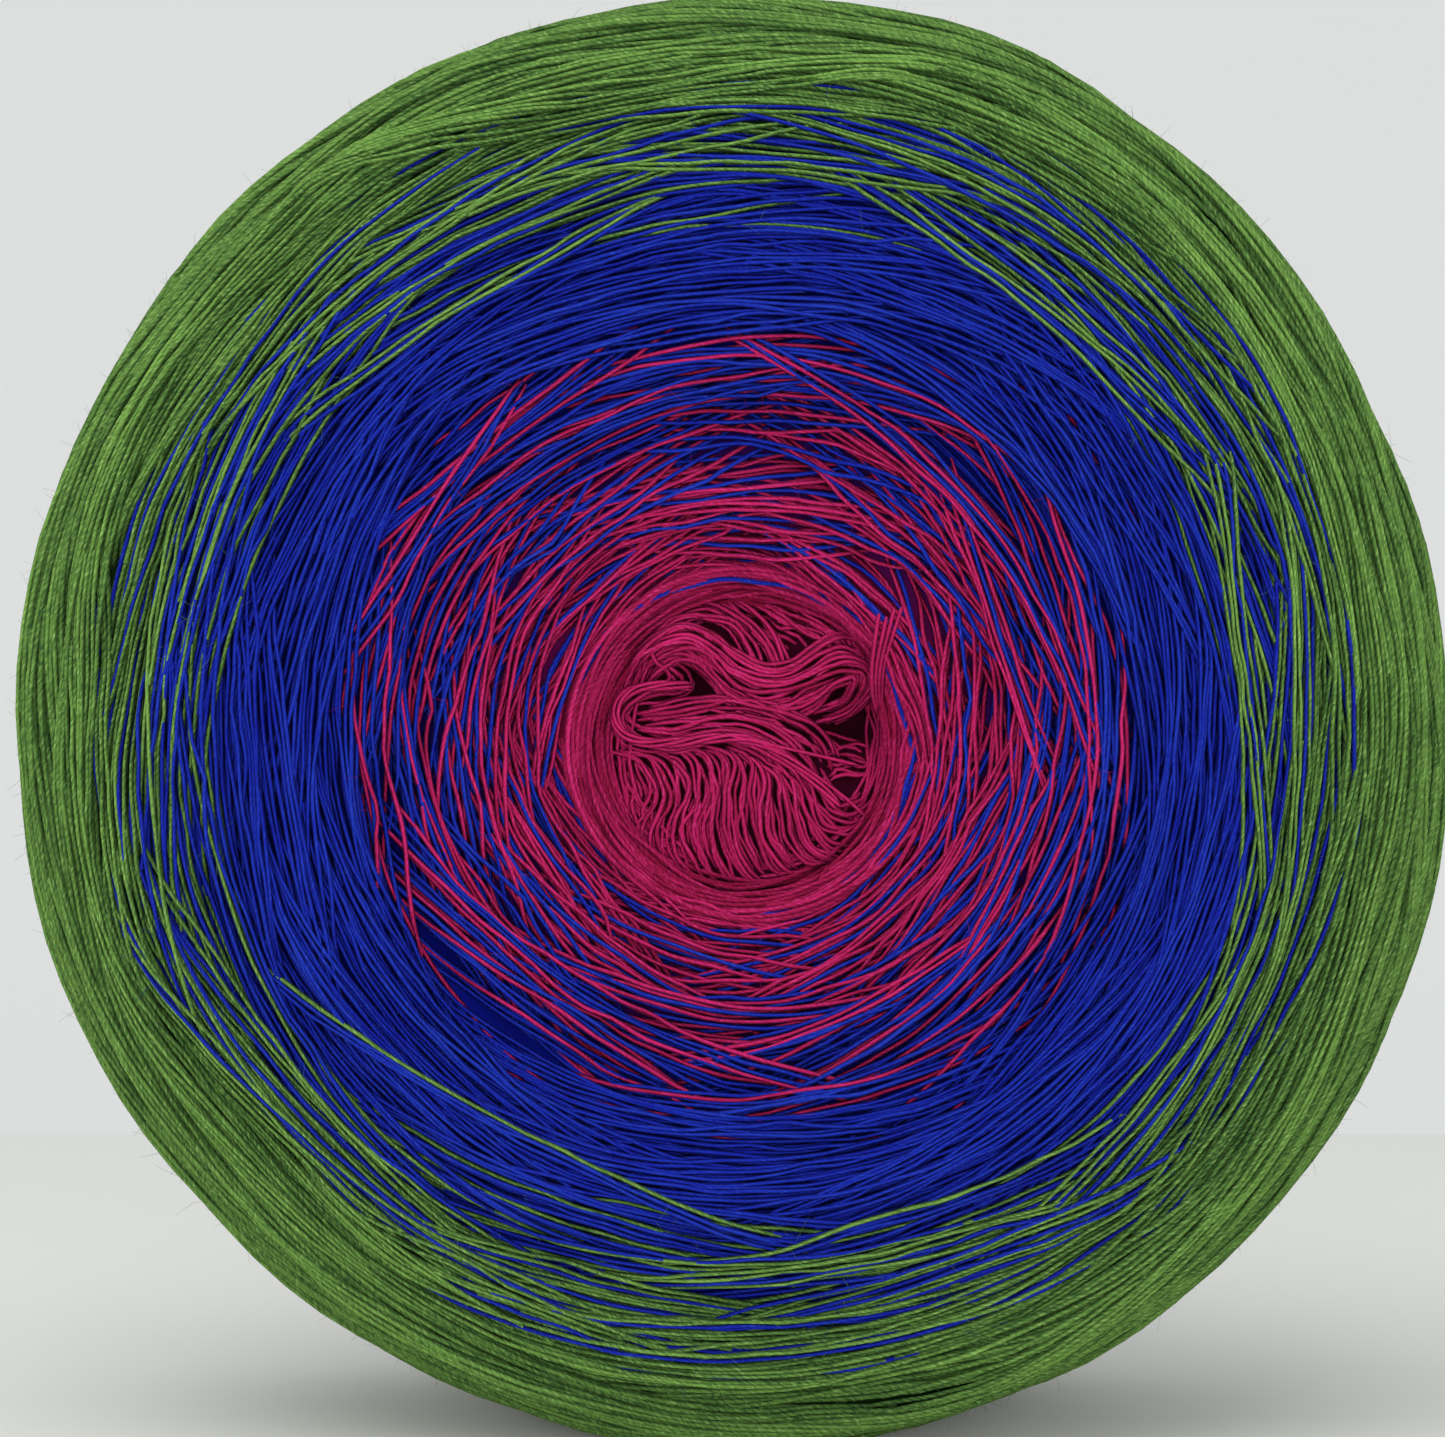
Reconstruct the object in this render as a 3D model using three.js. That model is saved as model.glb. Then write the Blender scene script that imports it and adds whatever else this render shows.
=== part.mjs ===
// A cake of yarn: one long yarn of fine threads, cross-wound into a thick drum that stands on its rim.
// Millimetres, +Z up. The drum's axis lies along Y and its front end faces -Y.
// The origin is on the surface that the drum stands on, under the middle of the drum.
import * as THREE from 'three';
import { mergeVertices } from 'three/addons/utils/BufferGeometryUtils.js';

// The wound drum.
const drumRadius = 70;
const drumHalfDepth = 36.5;
const shoulderRound = { acrossPower: 7, depthPower: 3 };
const footFlat = 1.6;
const axisHeight = drumRadius - footFlat;

// The hole through the drum, a little right of and below the drum's middle on the front.
const holeRadius = 14;
const holeShift = { right: 1.2, down: 1.8 };

// Each end of the drum is dished towards the hole.
const dishDepth = 6.5;
const dishRadius = 44;

// The main bundles of turns that stand out on each end, from the hole to the shoulder. Each one
// runs round as a polygon with soft corners, and dips under the next bundle at its corners.
const bundleBend = 0.7;
const bundleDip = 0.6;
const valleyDepth = 0.6;
const endBundles = [
  { radius: 17.5, rise: 0.7, corners: 5, turn: 12 },
  { radius: 23.5, rise: 1.0, corners: 6, turn: 40 },
  { radius: 29.5, rise: 0.8, corners: 6, turn: 5 },
  { radius: 35.5, rise: 1.1, corners: 7, turn: 22 },
  { radius: 41.5, rise: 0.9, corners: 6, turn: 50 },
  { radius: 47.5, rise: 1.1, corners: 7, turn: 30 },
  { radius: 53.5, rise: 0.9, corners: 7, turn: 4 },
  { radius: 59.0, rise: 1.0, corners: 8, turn: 20 },
  { radius: 63.5, rise: 0.7, corners: 8, turn: 0 },
];
const backTurn = 23;
const shoulderInset = 1.2;

// The bands of turns across the rim, from the front shoulder to the back one.
const rimBands = [
  { across: -22, rise: -0.3 },
  { across: -16, rise: 0.35 },
  { across: -10, rise: -0.25 },
  { across: -5, rise: 0.3 },
  { across: 0, rise: -0.2 },
  { across: 5, rise: 0.3 },
  { across: 11, rise: -0.25 },
  { across: 17, rise: 0.35 },
  { across: 22, rise: -0.3 },
];
const bandSlant = { lobes: 2, sway: 1.8 };

// The drum isn't quite round: low swells of its outline.
const outlineSwells = [
  { lobes: 2, swell: 0.55, turn: 102 },
  { lobes: 3, swell: 0.5, turn: 63 },
  { lobes: 5, swell: 0.15, turn: 58 },
];
const stepsRound = 96;
// Where the rings of the hole's wall lie, as shares of half its depth.
const wallRings = [0.5, 0, -0.5];

// The slack first turns, slumped inside the hole.
const clearance = 0.3;
const coreHalfDepth = 26.5;
const coreRings = 12;
const coreStepsRound = 44;
const coreShoulder = 1.2;
// Mounds and hollows of each end of the slack core, seen from the front: right and up are
// measured from the hole's middle, and a hollow has a height below nought.
const coreFolds = [
  { right: -5.5, up: 9.4, reach: 4.4, height: 2.4 },
  { right: 7.8, up: 9.2, reach: 3.8, height: 2.2 },
  { right: 2.2, up: 6.2, reach: 3.6, height: 1.2 },
  { right: -3.5, up: -1.6, reach: 6.8, height: 2.8 },
  { right: 4.2, up: -5.0, reach: 5.8, height: 2.2 },
  { right: -4.9, up: 5.8, reach: 2.2, height: -3.4 },
  { right: 9.8, up: 2.0, reach: 2.8, height: -5.0 },
];

// The yarn's inner end, which lies on the front of the slack core. Each point of its route is
// measured from the hole's middle, and out is how far its centre lies off the core's front face.
const endDiameter = 1.1;
const endSides = 8;
const endSteps = 24;
const endRoute = [
  { right: -5.2, up: 5.3, out: 2.2 },
  { right: -7.0, up: 5.4, out: 1.6 },
  { right: -8.8, up: 5.3, out: 1.2 },
  { right: -10.5, up: 5.0, out: 1.1 },
  { right: -11.8, up: 4.0, out: 1.1 },
  { right: -12.3, up: 2.6, out: 1.1 },
  { right: -11.8, up: 1.2, out: 1.1 },
  { right: -10.5, up: 0.3, out: 1.1 },
  { right: -8.6, up: 0.0, out: 1.1 },
  { right: -6.2, up: 0.1, out: 1.1 },
  { right: -3.8, up: 0.4, out: 1.1 },
  { right: -1.4, up: 0.5, out: 1.1 },
  { right: 1.0, up: 0.1, out: 1.1 },
  { right: 3.2, up: -1.0, out: 1.1 },
  { right: 5.2, up: -2.5, out: 1.1 },
  { right: 7.0, up: -4.2, out: 1.1 },
  { right: 8.6, up: -6.0, out: 1.3 },
];

const degree = Math.PI / 180;

const yarn = (color, roughness) => new THREE.MeshStandardMaterial({ color, roughness, metalness: 0 });

// How far a polygon with soft corners lies from its middle at an angle, as a share of its mean
// radius, and how near a corner that is, from 0 at the middle of a side to 1 at a corner.
function polygonReach({ corners, turn }, angle) {
  const sector = (2 * Math.PI) / corners;
  const past = angle - turn * degree;
  const fromSide = past - sector * Math.round(past / sector);
  const meanReach = 1 + (bundleBend * sector) ** 2 / 24;
  const reach = 1 / Math.cos(bundleBend * fromSide) / meanReach;
  return { reach, corner: Math.abs(fromSide) / (sector / 2) };
}

// Half the drum's depth at a radius, without its bundles.
function halfDepthAt(radius) {
  const across = Math.min(radius / drumRadius, 1) ** shoulderRound.acrossPower;
  const crown = drumHalfDepth * (1 - across) ** (1 / shoulderRound.depthPower);
  const inward = THREE.MathUtils.clamp((dishRadius - radius) / (dishRadius - holeRadius), 0, 1);
  return crown - dishDepth * inward ** 2;
}

// The rim's radius at a distance from the drum's middle plane, without its bands.
function rimRadiusAt(across) {
  const depth = (Math.abs(across) / drumHalfDepth) ** shoulderRound.depthPower;
  return drumRadius * (1 - depth) ** (1 / shoulderRound.acrossPower);
}

// One end of the drum as rings from the hole's edge outwards: a crest for each bundle, and a valley
// between each two. Each ring gives its radius and depth at an angle. The side is -1 for the front.
function endRings(side, turnOn) {
  const crest = (bundle) => (angle) => {
    const { reach, corner } = polygonReach({ ...bundle, turn: bundle.turn + turnOn }, angle);
    return { radius: bundle.radius * reach, rise: bundle.rise * (1 - bundleDip * corner ** 2) };
  };
  const hole = () => ({ radius: holeRadius, rise: 0 });
  const shoulderRadius = rimRadiusAt(rimBands[0].across) - shoulderInset;
  const shoulder = () => ({ radius: shoulderRadius, rise: -valleyDepth / 2 });
  const crests = [hole, ...endBundles.map(crest), shoulder];
  const rings = [];
  crests.forEach((ring, index) => {
    rings.push(ring);
    const next = crests[index + 1];
    if (next && index > 0 && index < crests.length - 2) {
      rings.push((angle) => {
        const [inner, outer] = [ring(angle), next(angle)];
        return { radius: (inner.radius + outer.radius) / 2, rise: -valleyDepth };
      });
    }
  });
  return rings.map((ring) => (angle) => {
    const { radius, rise } = ring(angle);
    return { radius, depth: side * (halfDepthAt(radius) + rise) };
  });
}

function outlineSwellAt(angle) {
  const wave = ({ lobes, swell, turn }) => swell * Math.cos(lobes * (angle - turn * degree));
  return outlineSwells.map(wave).reduce((sum, swell) => sum + swell, 0);
}

// The drum's cross-section as rings, once round: front end, rim, back end and the hole's wall.
function drumRings() {
  const rim = rimBands.map(({ across, rise }) => (angle) => {
    const depth = across + bandSlant.sway * Math.sin(bandSlant.lobes * angle);
    return { radius: rimRadiusAt(depth) + rise, depth };
  });
  const wallHalfDepth = halfDepthAt(holeRadius);
  const wall = wallRings.map((share) => () => ({ radius: holeRadius, depth: share * wallHalfDepth }));
  return [...endRings(-1, 0), ...rim, ...endRings(1, backTurn).reverse(), ...wall];
}

// A closed lathe whose rings are then moved to where each ring function puts them.
function latheOfRings(rings, steps, place) {
  const start = rings.map((ring) => {
    const { radius, depth } = ring(0);
    return new THREE.Vector2(radius, depth);
  });
  const geometry = new THREE.LatheGeometry([...start, start[0].clone()], steps);
  const points = geometry.getAttribute('position');
  const ringCount = rings.length + 1;
  for (let index = 0; index < points.count; index += 1) {
    const step = Math.floor(index / ringCount) % steps;
    const angle = Math.PI / 2 - (step / steps) * 2 * Math.PI;
    const ring = rings[(index % ringCount) % rings.length];
    const placed = place(ring(angle), angle);
    points.setXYZ(index, placed.x, placed.y, placed.z);
  }
  return finished(geometry);
}

function finished(geometry) {
  geometry.deleteAttribute('normal');
  geometry.deleteAttribute('uv');
  const merged = mergeVertices(geometry, 1e-4);
  merged.computeVertexNormals();
  return merged;
}

// The hole's middle moves off the drum's axis, and the turns round it follow, less and less outwards.
function shiftAt(radius) {
  const inward = THREE.MathUtils.clamp((drumRadius - radius) / (drumRadius - holeRadius), 0, 1);
  return { right: holeShift.right * inward ** 2, up: -holeShift.down * inward ** 2 };
}

function placeOnDrum({ radius, depth }, angle) {
  const outward = (radius / drumRadius) ** 2;
  const swollen = radius + outlineSwellAt(angle) * outward;
  const shift = shiftAt(radius);
  const x = swollen * Math.cos(angle) + shift.right;
  const z = swollen * Math.sin(angle) + shift.up;
  return new THREE.Vector3(x, depth, Math.max(z, -axisHeight));
}

function woundBody() {
  const mesh = new THREE.Mesh(latheOfRings(drumRings(), stepsRound, placeOnDrum), yarn(0x4a6d31, 0.9));
  mesh.name = 'wound_body';
  return mesh;
}

// How far the folds raise the slack core's end at a place on it.
function coreFoldAt(right, up) {
  const folds = coreFolds.map((fold) => {
    const away = ((right - fold.right) ** 2 + (up - fold.up) ** 2) / fold.reach ** 2;
    return fold.height * Math.exp(-away);
  });
  return folds.reduce((sum, fold) => sum + fold, 0);
}

const coreRadius = holeRadius - clearance;

// Half the slack core's depth at a place on its end, rounded off towards the hole's wall.
function coreHalfDepthAt(right, up) {
  const fromWall = Math.max(coreRadius - Math.hypot(right, up), 0);
  const roundOff = coreShoulder * (1 - Math.min(fromWall / coreShoulder, 1)) ** 2;
  return coreHalfDepth + coreFoldAt(right, up) - roundOff;
}

// The slack core is a lathe from axis to axis, whose ends are then raised and sunk by the folds.
function slackCore() {
  const shares = Array.from({ length: coreRings }, (_, index) => index / (coreRings - 1));
  const radii = shares.map((share) => coreRadius * Math.sin((share * Math.PI) / 2));
  const front = radii.map((radius) => new THREE.Vector2(radius, -coreHalfDepth));
  const back = radii.map((radius) => new THREE.Vector2(radius, coreHalfDepth)).reverse();
  const waist = new THREE.Vector2(coreRadius, 0);
  const geometry = new THREE.LatheGeometry([...front, waist, ...back], coreStepsRound);
  const points = geometry.getAttribute('position');
  for (let index = 0; index < points.count; index += 1) {
    const [right, depth, up] = [points.getX(index), points.getY(index), points.getZ(index)];
    const side = Math.sign(depth);
    points.setXYZ(index, right, side * coreHalfDepthAt(side < 0 ? right : -right, up), up);
  }
  const mesh = new THREE.Mesh(finished(geometry), yarn(0x7c1040, 0.9));
  mesh.name = 'slack_core';
  mesh.position.set(holeShift.right, 0, -holeShift.down);
  return mesh;
}

function looseEnd() {
  const route = endRoute.map(({ right, up, out }) => (
    new THREE.Vector3(right, -coreHalfDepthAt(right, up) - out, up)
  ));
  const section = new THREE.Shape();
  section.absarc(0, 0, endDiameter / 2, 0, 2 * Math.PI);
  const geometry = new THREE.ExtrudeGeometry(section, {
    steps: endSteps,
    curveSegments: endSides / 2,
    extrudePath: new THREE.CatmullRomCurve3(route, false, 'centripetal'),
    bevelEnabled: false,
  });
  const mesh = new THREE.Mesh(finished(geometry), yarn(0xa01f55, 0.9));
  mesh.name = 'loose_end';
  mesh.position.set(holeShift.right, 0, -holeShift.down);
  return mesh;
}

// The drum's box is centred on the origin, across, and its foot is at the origin's height.
const cake = new THREE.Group();
cake.add(woundBody(), slackCore(), looseEnd());
const extent = new THREE.Box3().setFromObject(cake.children[0]);
cake.position.set(-(extent.min.x + extent.max.x) / 2, -(extent.min.y + extent.max.y) / 2, axisHeight);

export default cake;
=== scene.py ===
# A cake of gradient yarn standing on its rim: magenta at the hole, then blue, then green outside.
import math

import bpy
import numpy as np
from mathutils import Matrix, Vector


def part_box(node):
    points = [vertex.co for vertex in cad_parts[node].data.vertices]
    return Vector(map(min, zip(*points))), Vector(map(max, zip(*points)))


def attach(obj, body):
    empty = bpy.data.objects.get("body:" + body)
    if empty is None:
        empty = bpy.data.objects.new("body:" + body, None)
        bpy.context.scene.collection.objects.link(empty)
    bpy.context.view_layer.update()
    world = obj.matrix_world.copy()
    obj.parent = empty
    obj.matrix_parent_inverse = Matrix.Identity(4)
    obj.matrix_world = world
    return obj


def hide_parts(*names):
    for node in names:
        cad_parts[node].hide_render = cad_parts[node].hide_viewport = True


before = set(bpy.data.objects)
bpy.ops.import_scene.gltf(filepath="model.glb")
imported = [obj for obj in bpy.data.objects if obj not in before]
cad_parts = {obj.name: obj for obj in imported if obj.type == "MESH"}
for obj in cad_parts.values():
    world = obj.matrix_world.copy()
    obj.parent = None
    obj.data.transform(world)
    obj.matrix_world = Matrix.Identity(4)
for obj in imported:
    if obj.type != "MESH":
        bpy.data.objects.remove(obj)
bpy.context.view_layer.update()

MM = 0.001
random = np.random.default_rng(7)
# Front and back are also the signs of a depth there.
FRONT, RIM, BACK, RIM_GROUND = -1, 0, 1, 2
ENDS = {"front": FRONT, "back": BACK}

# The camera
# It looks level at the front end of the cake, far enough off that the cake fills the picture
# and little of the rim shows.
CAMERA_DISTANCE = 0.45
CAMERA_ASIDE = -0.0006
CAMERA_HEIGHT = 0.0689
LENS = 112.5

camera_data = bpy.data.cameras.new("camera")
camera_data.lens = LENS
camera_data.clip_start = 0.01
camera_data.clip_end = 20.0
camera = bpy.data.objects.new("camera", camera_data)
camera.location = (CAMERA_ASIDE, -CAMERA_DISTANCE, CAMERA_HEIGHT)
camera.rotation_euler = (math.pi / 2, 0.0, 0.0)
bpy.context.scene.collection.objects.link(camera)
bpy.context.scene.camera = camera
bpy.context.scene.view_settings.view_transform = "Standard"

# The yarn
# Four fine two-ply cotton threads lie side by side and are wound as one yarn. Each thread is
# dyed magenta, blue or green, and at a colour change one of the four is knotted to the next dye.
THREAD = 0.48
SPACING = 0.54
THREADS = 4
PLY_LENGTH = 1.7
PLIES = 2
THREAD_SIDES = 3
CREST = 1 / THREAD_SIDES
SIDE_WIDENING = 1.05
UNEVEN_THICKNESS = (2, 0.08)
# Painted light and shade in a thread's colour: lighter ply crests and darker grooves between them, the
# thread's own tone and painted shade, and its patches.
PLY_LIGHT = 0.28
OWN_LIGHT = 0.55
EVEN_LIGHT = 0.16
PATCHINESS = 0.3
PATCHES_A_METRE = 150.0
BUMP_DEPTH = 0.12


class Socket:
    """A shader value, on which Python's operators add Math nodes."""

    def __init__(self, nodes, output):
        self.nodes = nodes
        self.output = output

    def maths(self, operation, other=None, first=False):
        values = [self.output] if other is None else [self.output, getattr(other, "output", other)]
        if first:
            values.reverse()
        return self.nodes.add("ShaderNodeMath", {"operation": operation}, dict(enumerate(values)))

    def __add__(self, other):
        return self.maths("ADD", other)

    __radd__ = __add__

    def __sub__(self, other):
        return self.maths("SUBTRACT", other)

    def __rsub__(self, other):
        return self.maths("SUBTRACT", other, first=True)

    def __mul__(self, other):
        return self.maths("MULTIPLY", other)

    __rmul__ = __mul__

    def held(self):
        """The value, kept between 0 and 1."""
        return self.maths("MINIMUM", 1.0).maths("MAXIMUM", 0.0)


class Nodes:
    """A material's node tree, to which one method adds every node."""

    def __init__(self, name):
        self.material = bpy.data.materials.new(name)
        self.material.use_nodes = True
        self.tree = self.material.node_tree
        self.shader = self.tree.nodes["Principled BSDF"]

    def add(self, kind, settings=None, inputs=None, output=0):
        node = self.tree.nodes.new(kind)
        for name, value in (settings or {}).items():
            setattr(node, name, value)
        for name, value in (inputs or {}).items():
            self.feed(node.inputs[name], value)
        return Socket(self, node.outputs[output])

    def feed(self, socket, value):
        value = getattr(value, "output", value)
        if isinstance(value, bpy.types.NodeSocket):
            self.tree.links.new(value, socket)
        else:
            socket.default_value = value

    def mix_colour(self, share, first, second):
        inputs = {0: share, 6: first, 7: second}
        return self.add("ShaderNodeMix", {"data_type": "RGBA"}, inputs, output=2)

    def hold(self, values):
        """Sets the shader's own values."""
        for name, value in values.items():
            self.shader.inputs[name].default_value = value


def linear(red, green, blue):
    """A colour as it looks on a screen, from 0 to 255, as the shader's linear colour."""
    shares = [value / 255 for value in (red, green, blue)]
    return (*(s / 12.92 if s <= 0.04045 else ((s + 0.055) / 1.055) ** 2.4 for s in shares), 1.0)


# Each dye has a lit colour, a shaded colour for painted shade and a pale colour for painted highlights.
DYES = {
    "magenta": {"lit": linear(184, 26, 96), "shaded": linear(120, 0, 46), "pale": linear(194, 66, 132)},
    "blue": {"lit": linear(16, 44, 156), "shaded": linear(0, 8, 132), "pale": linear(48, 70, 182)},
    "green": {"lit": linear(107, 148, 65), "shaded": linear(31, 63, 27), "pale": linear(152, 188, 112)},
}


def thread_material(dye, name):
    """A matt cotton thread: two twisted plies, uneven dye along it, painted shade on its flanks and between
    its plies, and pale painted highlights on its fibres.
    """
    nodes = Nodes(name)
    place = nodes.add("ShaderNodeUVMap", {"uv_map": "thread"})
    along = nodes.add("ShaderNodeSeparateXYZ", None, {0: place}, output=0)
    around = nodes.add("ShaderNodeSeparateXYZ", None, {0: place}, output=1)
    own = nodes.add("ShaderNodeAttribute", {"attribute_name": "tone_and_painted_shade"}, output=2)
    length = nodes.add("ShaderNodeCombineXYZ", None, {0: along * 0.4, 1: around * 0.6, 2: own * 31.0})
    uneven = nodes.add("ShaderNodeTexNoise", None, {"Vector": length, "Scale": 1.0, "Detail": 2.0})
    spot = nodes.add("ShaderNodeTexCoord", output=3)
    patches = nodes.add("ShaderNodeTexNoise", None, {"Vector": spot, "Scale": PATCHES_A_METRE, "Detail": 2.0})
    twisted = along * (1 / PLY_LENGTH) + around + uneven * 0.9
    ply = (twisted * (math.pi * PLIES)).maths("SINE").maths("ABSOLUTE")
    strand = nodes.add("ShaderNodeCombineXYZ", None, {0: along * 1.6, 1: twisted * 7.0, 2: own * 9.0})
    fibres = nodes.add("ShaderNodeTexNoise", None, {"Vector": strand, "Scale": 1.0, "Detail": 4.0})
    # Painted shade: each thread's flanks are painted darker than its crest, which points outward.
    painted_flank_shade = ((around - CREST) * (2 * math.pi)).maths("COSINE") * 0.34 + 0.66
    varied = (fibres - 0.5) + (uneven - 0.5) + (patches - 0.5) * PATCHINESS
    # The dye is mixed from its shaded and its lit colour by painted light and shade, with random unevenness.
    light = ((varied + ply * PLY_LIGHT + own * OWN_LIGHT + EVEN_LIGHT) * painted_flank_shade).held()
    colour = nodes.mix_colour(light, DYES[dye]["shaded"], DYES[dye]["lit"])
    # Painted highlight: pale where the fibres and plies stand up, scaled by the painted light.
    colour = nodes.mix_colour(((fibres - 0.5) * 3.0 * ply).held() * light, colour, DYES[dye]["pale"])
    nodes.feed(nodes.shader.inputs["Base Color"], colour)
    height = ply * 0.4 + fibres * 0.8
    bump = nodes.add("ShaderNodeBump", None, {"Strength": 0.7, "Distance": BUMP_DEPTH * MM, "Height": height})
    nodes.feed(nodes.shader.inputs["Normal"], bump)
    nodes.hold({"Roughness": 0.88, "Specular IOR Level": 0.18, "Sheen Weight": 0.1,
                "Sheen Roughness": 0.45, "Sheen Tint": DYES[dye]["lit"]})
    return nodes.material


THREAD_MATERIALS = {dye: thread_material(dye, f"{dye}_thread") for dye in DYES}


def unit(vectors):
    return vectors / np.linalg.norm(vectors, axis=-1, keepdims=True)


def ring_points(line, outward, thickness):
    """The corners of a tube along a line, ring by ring. The second corner of a ring points outward."""
    ahead = np.gradient(line, axis=0)
    ahead /= np.linalg.norm(ahead, axis=1, keepdims=True) + 1e-12
    aside = np.cross(ahead, outward)
    aside /= np.linalg.norm(aside, axis=1, keepdims=True) + 1e-12
    up = np.cross(aside, ahead)
    turn = (np.arange(THREAD_SIDES) / THREAD_SIDES - CREST + 0.25) * 2 * math.pi
    across = np.cos(turn)[None, :, None] * aside[:, None] * SIDE_WIDENING
    ring = across + np.sin(turn)[None, :, None] * up[:, None]
    size = np.broadcast_to(thickness / 2, len(line)).copy()
    size[[0, -1]] *= 0.5
    return line[:, None] + ring * size[:, None, None]


def thread_piece(name, threads, dye):
    """A piece of closed tubes. Each thread has a line in millimetres, and an outward direction, a
    thickness and a tone with painted light and shade, for the whole line or for each of its points."""
    corners, quads, caps, places, shades = [], [], [], [], []
    sides = THREAD_SIDES
    first = 0
    for thread in threads:
        line = thread["line"]
        count = len(line)
        lengths = np.linalg.norm(np.diff(line, axis=0), axis=1)
        along = thread["start"] + np.concatenate([[0.0], np.cumsum(lengths)])
        ring = np.arange(count - 1)[:, None] * sides
        side = np.arange(sides)[None, :]
        after = (side + 1) % sides
        quad = np.stack([ring + side, ring + sides + side, ring + sides + after, ring + after], axis=-1)
        quads.append(first + quad.reshape(-1, 4))
        low = np.broadcast_to(along[:-1, None], quad.shape[:2])
        high = np.broadcast_to(along[1:, None], quad.shape[:2])
        left = np.broadcast_to(side / sides, quad.shape[:2])
        right = left + 1 / sides
        place = np.stack([low, left, high, left, high, right, low, right], axis=-1)
        places.append(place.reshape(-1, 2))
        last = first + (count - 1) * sides
        caps.append(np.stack([first + np.arange(sides), last + np.arange(sides)[::-1]]))
        corners.append(ring_points(line, thread["outward"], thread["thickness"]).reshape(-1, 3))
        shades.append(np.repeat(np.broadcast_to(thread["tone_and_painted_shade"], count), sides))
        first += count * sides
    corners = np.concatenate(corners) * MM
    quads = np.concatenate(quads)
    caps = np.concatenate(caps)
    mesh = bpy.data.meshes.new(name)
    mesh.vertices.add(len(corners))
    mesh.vertices.foreach_set("co", corners.ravel())
    loops = np.concatenate([quads.ravel(), caps.ravel()])
    sizes = np.concatenate([np.full(len(quads), 4), np.full(len(caps), sides)])
    mesh.loops.add(len(loops))
    mesh.loops.foreach_set("vertex_index", loops.astype(np.int32))
    mesh.polygons.add(len(sizes))
    mesh.polygons.foreach_set("loop_start", (np.cumsum(sizes) - sizes).astype(np.int32))
    mesh.polygons.foreach_set("use_smooth", np.ones(len(sizes), bool))
    mesh.update(calc_edges=True)
    uv = mesh.uv_layers.new(name="thread")
    spots = np.concatenate([np.concatenate(places), np.zeros((caps.size, 2))])
    uv.data.foreach_set("uv", spots.ravel().astype(np.float32))
    tone_and_painted_shade = mesh.attributes.new("tone_and_painted_shade", "FLOAT", "POINT")
    tone_and_painted_shade.data.foreach_set("value", np.concatenate(shades).astype(np.float32))
    mesh.validate()
    piece = bpy.data.objects.new(name, mesh)
    bpy.context.scene.collection.objects.link(piece)
    piece.data.materials.append(THREAD_MATERIALS[dye])
    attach(piece, "root")
    return piece


def curve_through(points, count):
    """A smooth line through points, given as evenly spaced points."""
    points = np.array(points, float)
    knots = np.concatenate([[2 * points[0] - points[1]], points, [2 * points[-1] - points[-2]]])
    t = np.linspace(0, 1, 12, endpoint=False)[:, None]
    bends = []
    for a, b, c, d in zip(knots, knots[1:], knots[2:], knots[3:]):
        bends.append(0.5 * (2 * b + (c - a) * t + (2 * a - 5 * b + 4 * c - d) * t**2
                            + (3 * b - a - 3 * c + d) * t**3))
    line = np.concatenate([*bends, points[-1:]])
    lengths = np.linalg.norm(np.diff(line, axis=0), axis=1)
    reached = np.concatenate([[0], np.cumsum(lengths)])
    even = np.linspace(0, reached[-1], count)
    return np.stack([np.interp(even, reached, line[:, axis]) for axis in range(line.shape[1])], axis=1)


# The loose end
# The yarn's inner end, about 34 mm of it, comes out of the slack first turns, runs round a bend and
# lies across their front. Its four threads keep together, but for two that part near the tip.
core_low, core_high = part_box("slack_core")
HOLE_X = (core_low[0] + core_high[0]) / 2 / MM
HOLE_Z = (core_low[2] + core_high[2]) / 2 / MM
CORE_RADIUS = 13.7
CORE_HALF_DEPTH = 26.5
CORE_SHOULDER = 1.2
# Each fold's place right of and above the hole's middle, its reach and its height.
CORE_FOLDS = [
    (-5.5, 9.4, 4.4, 2.4), (7.8, 9.2, 3.8, 2.2),
    (2.2, 6.2, 3.6, 1.2), (-3.5, -1.6, 6.8, 2.8),
    (4.2, -5.0, 5.8, 2.2), (-4.9, 5.8, 2.2, -3.4),
    (9.8, 2.0, 2.8, -5.0),
]


def core_half_depth_at(right, up):
    """Half the slack core's depth at a place, with its folds."""
    from_wall = np.maximum(CORE_RADIUS - np.hypot(right, up), 0)
    round_off = CORE_SHOULDER * (1 - np.minimum(from_wall / CORE_SHOULDER, 1)) ** 2
    folds = [height * np.exp(-((right - fold_right) ** 2 + (up - fold_up) ** 2) / reach ** 2)
             for fold_right, fold_up, reach, height in CORE_FOLDS]
    return CORE_HALF_DEPTH + sum(folds) - round_off


END_DIAMETER = 1.1
END_TWIST = 13.0
END_STEP = 0.5
# Where the end runs, right of and above the hole's middle and out from the core.
END_ROUTE = [
    (-5.2, 5.3, 2.2), (-7.0, 5.4, 1.6), (-8.8, 5.3, 1.2), (-10.5, 5.0, 1.1), (-11.8, 4.0, 1.1),
    (-12.3, 2.6, 1.1), (-11.8, 1.2, 1.1), (-10.5, 0.3, 1.1), (-8.6, 0.0, 1.1), (-6.2, 0.1, 1.1),
    (-3.8, 0.4, 1.1), (-1.4, 0.5, 1.1), (1.0, 0.1, 1.1), (3.2, -1.0, 1.1), (5.2, -2.5, 1.1),
    (7.0, -4.2, 1.1), (8.6, -6.0, 1.3),
]
# Where the two threads that part from the end go.
END_TIPS = [
    {"leaves": 0.68, "right": 10.6, "up": -2.1, "out": 1.6},
    {"leaves": 0.74, "right": 11.2, "up": -6.9, "out": 1.5},
]
AT_FRONT = np.array([0.0, -1.0, 0.0])


def on_core(right, up, out):
    """A point off the front of the slack core."""
    return np.array([HOLE_X + right, -core_half_depth_at(right, up) - out, HOLE_Z + up])


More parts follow.
